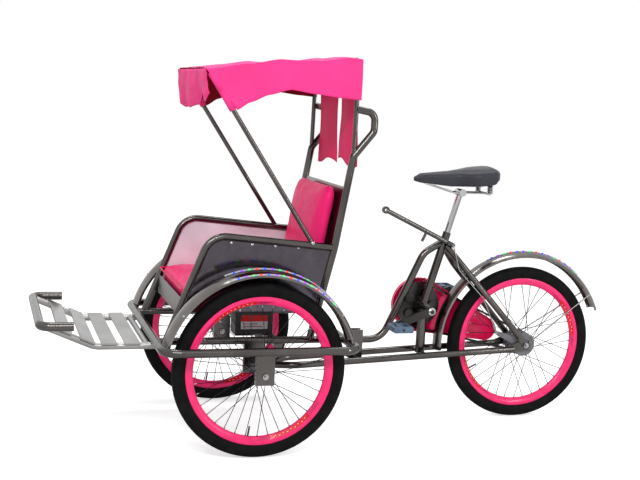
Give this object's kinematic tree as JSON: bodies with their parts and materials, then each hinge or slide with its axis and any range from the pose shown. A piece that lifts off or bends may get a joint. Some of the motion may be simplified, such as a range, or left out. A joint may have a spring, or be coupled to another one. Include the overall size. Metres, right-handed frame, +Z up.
{
  "type": "cycle rickshaw",
  "caption": "Pedal rickshaw with a canopied passenger seat between the front wheels, a slatted footboard and a pivoting cycle frame behind.",
  "frame": {"origin": "on the ground, below the middle of the whole vehicle", "axes": "+Z up, -X the way it travels, +X towards the cycle, +Y the vehicle's right, which is the drive side"},
  "size_m": [2.4282, 1.038, 1.5063],
  "materials": {
    "polished_stainless": "polished",
    "brushed_stainless": "brushed",
    "plated_steel": "zinc plated",
    "dark_steel": "oiled dark steel",
    "hub_steel": "satin",
    "grey_alloy": "cast",
    "pink_rim": "gloss painted",
    "pink_paint": "gloss",
    "tyre_rubber": "moulded",
    "seat_vinyl": "smooth vinyl",
    "canopy_cloth": "coated cloth",
    "back_panel": "plain sheet",
    "black_plastic": "moulded",
    "blue_plastic": "moulded",
    "saddle_vinyl": "smooth vinyl"
  },
  "bodies": {
    "carriage": {"base_bows": "polished_stainless", "base_rails": "polished_stainless", "seat_frame": "polished_stainless", "left_front_axle": "plated_steel", "right_front_axle": "plated_steel", "front_bumper": "polished_stainless", "footboard": "brushed_stainless", "rear_bow": "polished_stainless", "left_back_post": "polished_stainless", "right_back_post": "polished_stainless", "left_seat_side": "polished_stainless", "right_seat_side": "polished_stainless", "seat_pan": "brushed_stainless", "seat_cushion": "seat_vinyl", "back_board": "back_panel", "back_cushion": "seat_vinyl", "canopy_hoop": "polished_stainless", "canopy_cover": "canopy_cloth", "rear_curtain": "canopy_cloth", "left_front_fender": "polished_stainless", "right_front_fender": "polished_stainless", "battery": "black_plastic"},
    "cycle_frame": {"lower_frame": "polished_stainless", "upper_frame": "polished_stainless", "seat_stays": "polished_stainless", "saddle_post": "plated_steel", "saddle": "saddle_vinyl", "brake_lever": "plated_steel", "brake_rod": "plated_steel", "brake_plate": "grey_alloy", "rear_axle": "plated_steel", "rear_fender": "polished_stainless", "chain": "dark_steel", "chain_case": "pink_paint"},
    "left_front_wheel": {"left_front_tyre": "tyre_rubber", "left_front_rim": "pink_rim", "left_front_hub": "hub_steel"},
    "right_front_wheel": {"right_front_tyre": "tyre_rubber", "right_front_rim": "pink_rim", "right_front_hub": "hub_steel"},
    "rear_wheel": {"rear_tyre": "tyre_rubber", "rear_rim": "pink_rim", "rear_hub": "hub_steel"},
    "crank": {"crank_set": "dark_steel"},
    "left_pedal": {"left_pedal": "blue_plastic"},
    "right_pedal": {"right_pedal": "blue_plastic"}
  },
  "joints": [
    {"name": "steering", "type": "hinge", "parent": "carriage", "child": "cycle_frame", "pos_m": [-0.307, 0, 0.35], "axis": [0, 0, 1], "range_deg": [-30, 30]},
    {"name": "left_front_spin", "type": "hinge", "parent": "carriage", "child": "left_front_wheel", "pos_m": [-0.407, -0.41, 0.33], "axis": [0, 1, 0], "continuous": true},
    {"name": "right_front_spin", "type": "hinge", "parent": "carriage", "child": "right_front_wheel", "pos_m": [-0.407, 0.41, 0.33], "axis": [0, 1, 0], "continuous": true},
    {"name": "rear_spin", "type": "hinge", "parent": "cycle_frame", "child": "rear_wheel", "pos_m": [0.848, 0, 0.33], "axis": [0, 1, 0], "continuous": true},
    {"name": "crank_spin", "type": "hinge", "parent": "cycle_frame", "child": "crank", "pos_m": [0.393, 0, 0.486], "axis": [0, 1, 0], "continuous": true},
    {"name": "left_pedal_spin", "type": "hinge", "parent": "crank", "child": "left_pedal", "pos_m": [0.23795, -0.157, 0.42957], "axis": [0, 1, 0], "continuous": true},
    {"name": "right_pedal_spin", "type": "hinge", "parent": "crank", "child": "right_pedal", "pos_m": [0.54805, 0.157, 0.54243], "axis": [0, 1, 0], "continuous": true}
  ]
}
